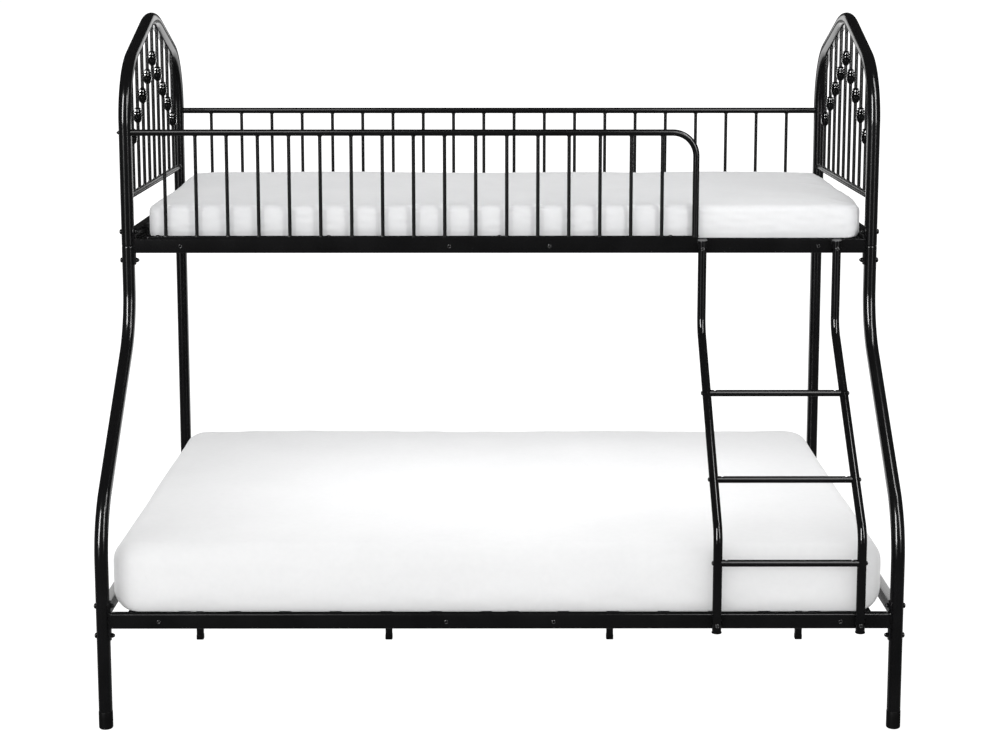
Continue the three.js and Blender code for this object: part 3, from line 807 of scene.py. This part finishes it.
# ---- ladder ----
for side_name, x, out in (("left", STILE_X[0], -1), ("right", STILE_X[1], 1)):
    s = Shape()
    tube(
        s,
        [A(x, STILE_UY, STILE_TOP), A(x, STILE_UY, STILE_HIGH), A(x, STILE_LY, STILE_LOW), A(x, STILE_LY, STILE_FOOT)],
        [STILE_BEND_R, STILE_BEND_R], STILE_R, 32, X, 2.0, (rolled(STILE_R, 16, 1.5, 1.0), rolled(STILE_R, 16, 1.5, 1.0)),
    )
    piece(f"ladder_{side_name}_stile_tube", s, STILE, replaces=[f"ladder_{side_name}_stile"])
    for end, up, y, z in (("top", 1, STILE_UY, STILE_TOP), ("bottom", -1, STILE_LY, STILE_FOOT)):
        s = Shape()
        prof = [(0, -14), (8.2, -14), (9.2, -12.5), (9.2, 0.3), (STILE_R + 0.4, 0.3), (STILE_R + 1.2, 0.9), (STILE_R + 1.3, 2.3)]
        for k in range(1, 7):
            a = math.radians(15 * k)
            prof.append((STILE_R - 0.9 + 2.2 * math.cos(a), 2.3 + 2.1 * math.sin(a)))
        prof += [(6, 4.75), (0, 4.9)]
        s.revolve([(r, h * up) for r, h in prof], A(x, y, z), Z, 32)
        piece(f"ladder_{side_name}_{end}_cap", s, PLUG if up > 0 else TRIM, replaces=[f"ladder_{side_name}_{end}_plug"])
    s = Shape()
    pan_screw(s, A(x, STILE_UY - STILE_R - 0.4, 1210), -Y, 5.6)
    pan_screw(s, A(x, STILE_LY - STILE_R - 0.4, 289), -Y, 5.6)
    for y, z in ((STILE_UY, 1210), (STILE_LY, 289)):
        s.revolve([(0, -3.0), (5.2, -3.0), (5.2, 0.2), (0, 0.2)], A(x, y - STILE_R - 0.4, z), -Y, 30)
    piece(f"ladder_{side_name}_end_screws", s, SCREW)
    s = Shape()
    for _, y, z in RUNGS:
        dome_bolt(s, A(x + out * (STILE_R - 0.3), y, z), X * out, 5.6, 4.4, socket=2.0)
    piece(f"ladder_{side_name}_step_screws", s, BOLT)

for name, y, z in RUNGS:
    s = Shape()
    x0, x1 = STILE_X[0] + STILE_R - 0.2, STILE_X[1] - STILE_R + 0.2
    stations = [x0, x0 + 1, x0 + 3, x0 + 5] + [x0 + 5 + 11 * k / 12 for k in range(1, 13)] + [x0 + 22]
    stations += [x0 + x1 - v for v in reversed(stations)]
    rings = []
    for v in stations:
        d = min(v - x0, x1 - v)
        dip = 3.4 * math.exp(-(((d - 11.5) / 3.1) ** 4))
        ring = []
        for k in range(28):
            a = 2 * math.pi * k / 28
            cy, cz = RUNG_R * math.cos(a), RUNG_R * math.sin(a)
            if cz > 0:
                cz = min(cz, RUNG_R - dip)
            end = 0.0
            if d < 0.5:
                end = -(STILE_R - math.sqrt(STILE_R**2 - min(abs(cy), STILE_R) ** 2)) * (1 if v < 0.5 * (x0 + x1) else -1)
            ring.append(A(v + end, y + cy, z + cz))
        rings.append(ring)
    s.loft(rings)
    piece(f"ladder_{name}_step", s, COAT, replaces=[f"ladder_{name}_rung"])


# ---- slat panels and support legs ----
def bar(s, x0, x1, y0, y1, z0, z1, r, steps=3):
    """Bar with rounded long edges, along its longer side, and softened ends."""
    along_x = x1 - x0 >= y1 - y0
    w, h = ((y1 - y0) if along_x else (x1 - x0)), z1 - z0
    outline = rounded_rect(w, h, r, steps)
    cx, cy, cz = (x0 + x1) / 2, (y0 + y1) / 2, (z0 + z1) / 2
    lo, hi = (x0, x1) if along_x else (y0, y1)
    rings = []
    for v, k in ((lo, 0.6), (lo + 0.4, 0.2), (lo + 1.0, 0.0), (lo + 4.0, 0.0), (hi - 4.0, 0.0), (hi - 1.0, 0.0), (hi - 0.4, 0.2), (hi, 0.6)):
        ring = []
        for a, b in outline:
            aa, bb = a * (1 - 2 * k / w), b * (1 - 2 * k / h)
            ring.append(A(v, cy + aa, cz + bb) if along_x else A(cx + aa, v, cz + bb))
        rings.append(ring)
    s.loft(rings)


for level, front, top in (("upper", UPPER_Y, UPPER_RAIL_Z + RAIL_H / 2), ("lower", LOWER_Y, LOWER_RAIL_Z + RAIL_H / 2)):
    for side_name, sg in (("left", -1), ("right", 1)):
        y0, y1 = front + RAIL_T / 2 + 0.3, REAR_Y - RAIL_T / 2 - 0.3
        xa, xb = sorted((sg * 20.0, sg * 1010.0))
        z1 = top - 8.0
        z0 = z1 - 20.0
        mid = 720.0 if level == "lower" else (y0 + y1) / 2
        s = Shape()
        for a, b in ((y0, y0 + 20), (y1 - 20, y1), (mid - 10, mid + 10)):
            bar(s, xa, xb, a, b, z0, z1, 2.2)
        if level == "upper":  # end bar that closes the panel
            bar(s, min(sg * 998.0, sg * 1022.0), max(sg * 998.0, sg * 1022.0), y0 + 19.5, y1 - 19.5, z0 + 0.5, z1 - 0.2, 2.2)
        for i in range(8):
            x = sg * (960 + (35 - 960) * i / 7)
            bar(s, x - 15, x + 15, y0 + 1, y1 - 1, z1 - 0.3, top, 1.9)
        piece(f"{level}_{side_name}_slats", s, COAT, replaces=[f"{level}_{side_name}_slat_panel"])
        if level == "upper":
            continue
        for inner, sx in (("inner", 330), ("outer", 894)):
            x = sg * sx
            s = Shape()
            outline = rounded_rect(20, 20, 2.4)
            s.loft([[A(x + a, 720 + b, z) for a, b in outline] for z in (5.3, 12, z0 - 6, z0 - 0.1)])
            loop = [A(x + a, 720 + b, z0 - 0.6) for a, b in outline]
            outs = [A(a / 10, b / 10, -0.6) for a, b in outline]
            bead(s, loop, outs, 1.8, 6, 0.15, 7)
            piece(f"{side_name}_{inner}_support_tube", s, COAT, replaces=[f"{side_name}_{inner}_support_leg"])
            s = Shape()
            foot = rounded_rect(21.4, 21.4, 3.0)
            rings = []
            for z, k in ((0, 0.88), (0.5, 0.95), (1.6, 1.0), (13.6, 1.0), (14.4, 0.985), (14.6, 0.955)):
                rings.append([A(x + a * k, 720 + b * k, z) for a, b in foot])
            s.loft(rings)
            piece(f"{side_name}_{inner}_support_cap", s, TRIM, replaces=[f"{side_name}_{inner}_support_foot"])

# sleeves inside the posts keep their shape
for side_name in ("left", "right"):
    for place in ("front", "rear"):
        node = frame["nodes"][f"{side_name}_{place}_post_sleeve"]
        node.data.materials.clear()
        node.data.materials.append(ZINC)


# ---- mattresses ----
def stations(low, high, cell):
    """Grid lines from low to high, closer together towards both ends."""
    near = [v for v in (0, 1.2, 3, 6, 11, 17, 24, 32, 42, 54, 70, 90) if v < (high - low) / 2 - 6]
    room = high - low - 2 * near[-1]
    count = max(1, round(room / cell))
    inner = [low + near[-1] + room * i / count for i in range(1, count)]
    return [low + v for v in near] + inner + [high - v for v in reversed(near)]


def mattress_shape(x, y, z, plan, top, front, ends, cell):
    """Closed rounded block as an even quad grid; the underside turns up by `front` along the sides and
    by ends[0], ends[1] at the left and right end."""
    xs, ys, zs = stations(*x, cell), stations(*y, cell), stations(*z, cell)
    nx, ny, nz = len(xs) - 1, len(ys) - 1, len(zs) - 1
    grid, pts, faces = {}, [], []

    def vert(i, j, k):
        key = (i, j, k)
        if key not in grid:
            grid[key] = len(pts)
            pts.append((xs[i], ys[j], zs[k]))
        return grid[key]

    for k in (0, nz):
        for i in range(nx):
            for j in range(ny):
                faces.append((vert(i, j, k), vert(i + 1, j, k), vert(i + 1, j + 1, k), vert(i, j + 1, k)))
    for j in (0, ny):
        for i in range(nx):
            for k in range(nz):
                faces.append((vert(i, j, k), vert(i + 1, j, k), vert(i + 1, j, k + 1), vert(i, j, k + 1)))
    for i in (0, nx):
        for j in range(ny):
            for k in range(nz):
                faces.append((vert(i, j, k), vert(i, j + 1, k), vert(i, j + 1, k + 1), vert(i, j, k + 1)))

    p = np.array(pts)
    mid = A((x[0] + x[1]) / 2, (y[0] + y[1]) / 2, 0)
    half = A((x[1] - x[0]) / 2 - plan, (y[1] - y[0]) / 2 - plan, 0)
    q = p - mid
    core = np.clip(q, -half, half)
    core[:, 2] = 0
    d = q - core
    d[:, 2] = 0
    n = np.linalg.norm(d, axis=1)
    m = np.max(np.abs(d[:, :2]), axis=1)
    safe = np.maximum(n, 1e-9)
    n_dir = d / safe[:, None]
    inset = plan - m  # distance in from the outline, within the rounded band
    nx_ = n_dir[:, 0]
    low_r = front + (np.where(nx_ > 0, ends[1], ends[0]) - front) * np.abs(nx_) ** 1.4
    low_r = np.where(n > 1e-6, low_r, front)
    out = mid + core
    zz = p[:, 2].copy()
    for radius, zc, sign in ((np.full(len(p), float(top)), z[1] - top, 1), (low_r, z[0] + low_r, -1)):
        zc = np.broadcast_to(zc, zz.shape)
        a1 = np.maximum(radius - inset, 0)
        a2 = np.maximum(sign * (p[:, 2] - zc), 0)
        far = np.hypot(a1, a2)
        use = (a1 > 0) & (a2 > 0)
        k = np.where(use, np.maximum(a1, a2) / np.maximum(far, 1e-9), 1.0)
        inset = np.where(use, radius - a1 * k, inset)
        zz = np.where(use, zc + sign * a2 * k, zz)
    out = out + n_dir * np.maximum(plan - inset, 0)[:, None]
    out[:, 2] = zz
    return out, faces


def inflate(o, start):
    """Blows the closed skin up as cloth and keeps the settled shape."""
    c = o.modifiers.new("cloth", "CLOTH")
    st = c.settings
    st.quality = 5
    st.mass = 0.4
    st.tension_stiffness = st.compression_stiffness = 25
    st.shear_stiffness = 12
    st.bending_stiffness = 2.0
    st.use_pressure = True
    st.uniform_pressure_force = 4.0
    st.effector_weights.gravity = 0.0
    c.collision_settings.use_self_collision = False
    c.collision_settings.use_collision = False
    c.point_cache.frame_start, c.point_cache.frame_end = 1, 20
    for f in range(1, 21):
        scene.frame_set(f)
    done = o.evaluated_get(bpy.context.evaluated_depsgraph_get())
    co = np.zeros(len(start) * 3)
    done.data.vertices.foreach_get("co", co)
    move = co.reshape(-1, 3) - start
    size = np.linalg.norm(move, axis=1)
    limit = 0.010
    move *= (limit * np.tanh(size / limit) / np.maximum(size, 1e-9))[:, None]
    o.modifiers.remove(c)
    scene.frame_set(1)
    # the skin draws its sides in as it crowns: stretch it back to the block's length, width and foot
    out = start + move
    low, high = out.min(axis=0), out.max(axis=0)
    low0, high0 = start.min(axis=0), start.max(axis=0)
    high0[2] += 0.005
    edge = (start[:, 2] < low0[2] + 0.004) & (start[:, 1] < low0[1] + 0.008)
    low[2] = np.median(out[edge, 2])
    out = low0 + (out - low) * (high0 - low0) / (high - low)
    o.data.vertices.foreach_set("co", out.ravel())
    o.data.update()


def foam(name, node, body, dims, mat, cell, levels, finish):
    pts, faces = mattress_shape(*dims, cell)
    me = bpy.data.meshes.new(name)
    me.from_pydata([(p[0] / 1000, (p[1] - DEPTH_CENTRE) / 1000, p[2] / 1000) for p in pts], [], faces)
    bm = bmesh.new()
    bm.from_mesh(me)
    bmesh.ops.recalc_face_normals(bm, faces=bm.faces)
    bm.to_mesh(me)
    bm.free()
    o = bpy.data.objects.new(name, me)
    scene.collection.objects.link(o)
    start = np.array([v.co for v in me.vertices])
    inflate(o, start)
    sub = o.modifiers.new("smooth", "SUBSURF")
    sub.levels = sub.render_levels = levels
    done = bpy.data.meshes.new_from_object(o.evaluated_get(bpy.context.evaluated_depsgraph_get()))
    o.modifiers.remove(sub)
    o.data = done
    bpy.data.meshes.remove(me)
    co = np.zeros(len(done.vertices) * 3)
    done.vertices.foreach_get("co", co)
    co = finish(co.reshape(-1, 3) * 1000 + A(0, DEPTH_CENTRE, 0))
    done.vertices.foreach_set("co", ((co - A(0, DEPTH_CENTRE, 0)) / 1000).ravel())
    done.update()
    done.shade_smooth()
    done.materials.clear()
    done.materials.append(mat)
    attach(o, body)
    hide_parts(node)
    o.visible_glossy = False  # the coat mirrors the studio, not the white covers
    return o


def smooth(v, a, b):
    t = np.clip((v - a) / (b - a), 0, 1)
    return t * t * (3 - 2 * t)


def waves(x, y, scale, seed, parts=7):
    """Smooth seeded unevenness of about -1..1."""
    rng = np.random.default_rng(seed)
    out = np.zeros(len(x))
    for _ in range(parts):
        a, k, ph = rng.uniform(0, 2 * math.pi), rng.uniform(0.6, 1.7) / scale, rng.uniform(0, 2 * math.pi)
        out += np.sin(2 * math.pi * k * (x * math.cos(a) + y * math.sin(a)) + ph)
    return out / math.sqrt(parts)


def soft_limit(v, low, high, give=3.0):
    """Keeps v between low and high, easing in over the last few millimetres."""
    v = np.where(v > high - give, high - give * np.exp(-np.maximum(v - high + give, 0) / give), v)
    return np.where(v < low + give, low + give * np.exp(-np.maximum(low + give - v, 0) / give), v)


def finish_lower(c):
    x, y, z = c.T
    top = smooth(z, 410, 480)
    c[:, 2] += top * (1.6 * waves(x, y, 620, 3) + 0.7 * waves(x, y, 210, 4))
    side = smooth(y, 90, 25) * smooth(z, 318, 350)
    c[:, 1] += side * (1.4 * waves(x, z * 1.5, 420, 5) + 0.6 * waves(x, z * 2, 130, 6))
    # small puckers of the cover along the foot of the front face, near the right
    c[:, 1] += side * smooth(z, 380, 330) * smooth(x, 60, 300) * smooth(x, 900, 500) * 1.2 * np.sin(x / 21 + 2 * np.sin(x / 83))
    c[:, 0] = soft_limit(c[:, 0], -1028, 1014)
    c[:, 0] = np.where(c[:, 2] < 336, np.clip(c[:, 0], -1024.2, 1024.2), c[:, 0])
    c[:, 1] = soft_limit(c[:, 1], 8.5, 1424)
    c[:, 1] = np.where(c[:, 2] < 316, np.maximum(c[:, 1], 13.2), c[:, 1])
    c[:, 2] = np.maximum(c[:, 2], 312.5)
    return c


BACK_RISE, END_RISE = 9.0, 6.0


def finish_upper(c):
    x, y, z = c.T
    top = smooth(z, 1290, 1326)
    c[:, 2] += top * (1.3 * waves(x, y, 480, 11) + 0.6 * waves(x, y, 170, 12))
    side = smooth(y, 570, 520) * smooth(z, 1240, 1258)
    c[:, 1] += side * (0.9 * waves(x, z * 2, 260, 13) + 0.5 * waves(x, z * 3, 90, 14))
    # fuller towards the rear edge, and pressed out between the rails at the right end
    rise = smooth(z, 1270, 1322)
    c[:, 2] += rise * (BACK_RISE * smooth(y, 1020, 1370) + END_RISE * smooth(x, 830, 985) * smooth(y, 560, 760) * smooth(y, 1370, 1020))
    c[:, 0] += smooth(x, 930, 1008) * smooth(y, 530, 700) * smooth(z, 1256, 1276) * 10.0
    # gathers of the cover where it is pulled round the right end
    near = smooth(x, 880, 985) * smooth(y, 520, 640)
    slant = y + 0.75 * (x - 940)
    c[:, 2] += top * near * 2.6 * (np.sin(slant / 7.4 + 1.7 * np.sin(slant / 37)) - 0.3) * (0.6 + 0.4 * waves(x, y, 120, 15))
    c[:, 0] = soft_limit(c[:, 0], -990, 1024)
    c[:, 1] = soft_limit(c[:, 1], 509.5, 1424)
    c[:, 1] = np.where(c[:, 2] < 1244, np.maximum(c[:, 1], 513.0), c[:, 1])
    c[:, 2] = np.clip(c[:, 2], 1234.5, 1343.0)
    return c


foam("upper_mattress_pad", "upper_mattress", "upper_mattress",
     ((-985, 1014), (513.6, 1417), (1234.7, 1331), 44, 20, 1.5, (12, 18)), CLOTH_UPPER_PAINTED_DARKER, 38, 2, finish_upper)
foam("lower_mattress_pad", "lower_mattress", "lower_mattress",
     ((-1022, 1009), (13.3, 1418), (312.6, 490), 75, 52, 1.5, (48, 52)), CLOTH_LOWER_PAINTED_LIGHTER, 28, 1, finish_lower)

# ---- studio ----
world = bpy.data.worlds.new("studio")
scene.world = world
world.use_nodes = True
world.cycles.sampling_method = "NONE"
wt = world.node_tree
wt.nodes.clear()


def w_node(kind, **values):
    n = wt.nodes.new(kind)
    for key, v in values.items():
        n.inputs[key.replace("_", " ")].default_value = v
    return n


def w_range(value, low, high, to_low, to_high):
    n = w_node("ShaderNodeMapRange", From_Min=low, From_Max=high, To_Min=to_low, To_Max=to_high)
    n.interpolation_type = "SMOOTHSTEP"
    wt.links.new(value, n.inputs["Value"])
    return n.outputs["Result"]


# seen white, an even fill on cloth, and a dark room in the polished coat
w_path = w_node("ShaderNodeLightPath")
w_way = w_node("ShaderNodeSeparateXYZ")
wt.links.new(w_node("ShaderNodeTexCoord").outputs["Generated"], w_way.inputs[0])
w_behind = w_range(w_way.outputs["Y"], 0.10, 0.50, 0.0, 0.24)
w_ground = w_range(w_way.outputs["Z"], -0.10, -0.02, 1.0, 0.0)
w_look = w_node("ShaderNodeMath")
w_look.operation = "MULTIPLY"
wt.links.new(w_behind, w_look.inputs[0])
wt.links.new(w_ground, w_look.inputs[1])
w_mirror = w_node("ShaderNodeBackground", Color=(1, 1, 1, 1))
w_room = w_node("ShaderNodeMath")
w_room.inputs[1].default_value = 0.02
wt.links.new(w_look.outputs[0], w_room.inputs[0])
wt.links.new(w_room.outputs[0], w_mirror.inputs["Strength"])
w_fill = w_node("ShaderNodeBackground", Color=(1, 1, 1, 1), Strength=0.93)
w_seen = w_node("ShaderNodeBackground", Color=(1, 1, 1, 1), Strength=1.03)
w_one, w_two, w_out = w_node("ShaderNodeMixShader"), w_node("ShaderNodeMixShader"), w_node("ShaderNodeOutputWorld")
wt.links.new(w_path.outputs["Is Glossy Ray"], w_one.inputs["Fac"])
wt.links.new(w_fill.outputs[0], w_one.inputs[1])
wt.links.new(w_mirror.outputs[0], w_one.inputs[2])
wt.links.new(w_path.outputs["Is Camera Ray"], w_two.inputs["Fac"])
wt.links.new(w_one.outputs[0], w_two.inputs[1])
wt.links.new(w_seen.outputs[0], w_two.inputs[2])
wt.links.new(w_two.outputs[0], w_out.inputs["Surface"])

floor_mesh = bpy.data.meshes.new("floor")
floor_mesh.from_pydata([(-150, -150, 0), (150, -150, 0), (150, 150, 0), (-150, 150, 0)], [], [(0, 1, 2, 3)])
floor = bpy.data.objects.new("floor", floor_mesh)
floor.location.z = -0.0005
scene.collection.objects.link(floor)
fm, fnt, fb, _ = material("floor")
fb.inputs["Base Color"].default_value = (0.24, 0.24, 0.24, 1)
fb.inputs["Roughness"].default_value = 1.0
fb.inputs["Specular IOR Level"].default_value = 0.0
fb.inputs["Emission Color"].default_value = (1, 1, 1, 1)
fb.inputs["Emission Strength"].default_value = 1.0
floor_mesh.materials.append(fm)
floor.visible_glossy = False
floor.visible_diffuse = False


def lamp(name, at, aim, size, radiance, diffuse=True, glossy=True, only=None, leave=None):
    """Rectangular soft light; at and aim are in metres, with the shape code's Y; only and leave limit what it lights."""
    d = bpy.data.lights.new(name, "AREA")
    d.shape = "RECTANGLE"
    d.size, d.size_y = size
    d.energy = radiance * math.pi * size[0] * size[1]
    o = bpy.data.objects.new(name, d)
    o.location = (at[0], at[1] - DEPTH_CENTRE / 1000, at[2])
    way = Vector(aim) - Vector(at)
    o.rotation_euler = way.to_track_quat("-Z", "Y").to_euler()
    o.visible_camera = False
    o.visible_diffuse, o.visible_glossy = diffuse, glossy
    scene.collection.objects.link(o)
    if only or leave:
        group = bpy.data.collections.new(name + "_receivers")
        for item in scene.objects:
            if item.type == "MESH" and any(word in item.name for word in only or leave) == bool(only):
                group.objects.link(item)
        o.light_linking.receiver_collection = group
    return o


# soft modelling of the cloth
lamp("cloth_right", (2.6, -3.0, 2.5), (0.3, 0.5, 1.0), (0.8, 1.6), 12.1, glossy=False, only=("upper_mattress",))
lamp("cloth_left", (-2.8, -4.0, 2.5), (-0.3, 0.5, 1.0), (0.8, 1.6), 9.5, glossy=False, only=("upper_mattress",))
lamp("cloth_front", (0.0, -5.0, 2.2), (0.0, 0.0, 0.4), (4.5, 2.2), 1.8, glossy=False, only=("lower_mattress",))
lamp("under_fill", (0.15, 0.68, 1.15), (0.15, 0.6, 0.0), (1.8, 0.8), 1.3, glossy=False, only=("lower_mattress",))
# the softboxes, with dim lower ends, and the paper behind, as the coat mirrors them
knobs = ("headboard_castings",)
lamp("box_left", (-6.2, -9.0, 5.6), (0.0, 0.5, 1.3), (2.6, 8.5), 26.0, diffuse=False, leave=knobs)
lamp("box_left_low", (-6.2, -9.0, 0.4), (0.0, 0.5, 1.0), (2.6, 2.4), 1.4, diffuse=False)
lamp("box_right", (3.3, -3.2, 3.3), (0.5, 0.5, 1.3), (1.0, 4.0), 13.0, diffuse=False, leave=knobs)
lamp("box_right_low", (3.3, -3.2, 0.8), (0.5, 0.5, 1.0), (1.0, 1.0), 1.1, diffuse=False)
lamp("box_over", (1.95, -0.6, 3.2), (1.0, 0.3, 0.8), (0.45, 1.4), 12.0, diffuse=False, leave=knobs)
level = ("front_guard", "rear_guard", "_step", "lower_front_rail_tube")
lamp("level_left", (-1.55, -4.0, 5.0), (-0.8, 0.5, 1.4), (1.3, 4.0), 4.0, diffuse=False, only=level)
lamp("level_right", (1.5, -3.7, 4.2), (0.9, 0.3, 1.0), (1.1, 4.4), 4.6, diffuse=False, only=level)
ends = ("arch_tube", "headboard_spindles", "lower_end_tube", "leg_tube", "support_tube")
lamp("paper", (0.0, 2.6, 0.65), (0.0, 0.0, 0.65), (5.0, 1.5), 1.6, diffuse=False, only=ends)
for side_name, sg in (("left", -1), ("right", 1)):
    lamp(f"{side_name}_bar_paper", (0.67 * sg, 6.0, 1.5), (1.04 * sg, 0.97, 1.35), (0.95, 1.65), 1.0, diffuse=False, only=(f"{side_name}_headboard_bar",))
lamp("knob_front", (0.66, -2.4, 4.1), (0.0, 0.97, 1.6), (1.5, 2.6), 52.0, diffuse=False, only=("left_headboard_castings",))
lamp("knob_left", (-4.6, 0.3, 3.9), (-1.0, 0.97, 1.6), (2.4, 2.6), 120.0, diffuse=False, only=("left_headboard_castings",))
lamp("knob_middle", (-0.64, -2.33, 4.1), (1.0, 0.97, 1.6), (1.5, 2.6), 90.0, diffuse=False, only=("right_headboard_castings",))
lamp("knob_right", (4.26, -1.73, 4.1), (1.0, 0.97, 1.6), (1.5, 2.6), 40.0, diffuse=False, only=("right_headboard_castings",))
lamp("knob_behind", (0.0, 3.8, 1.3), (0.0, 0.97, 1.6), (1.0, 1.4), 6.0, diffuse=False, only=knobs)
lamp("paper_top", (0.0, 2.6, 2.0), (0.0, 0.0, 2.0), (1.6, 0.6), 1.5, diffuse=False, only=("arch_tube",))
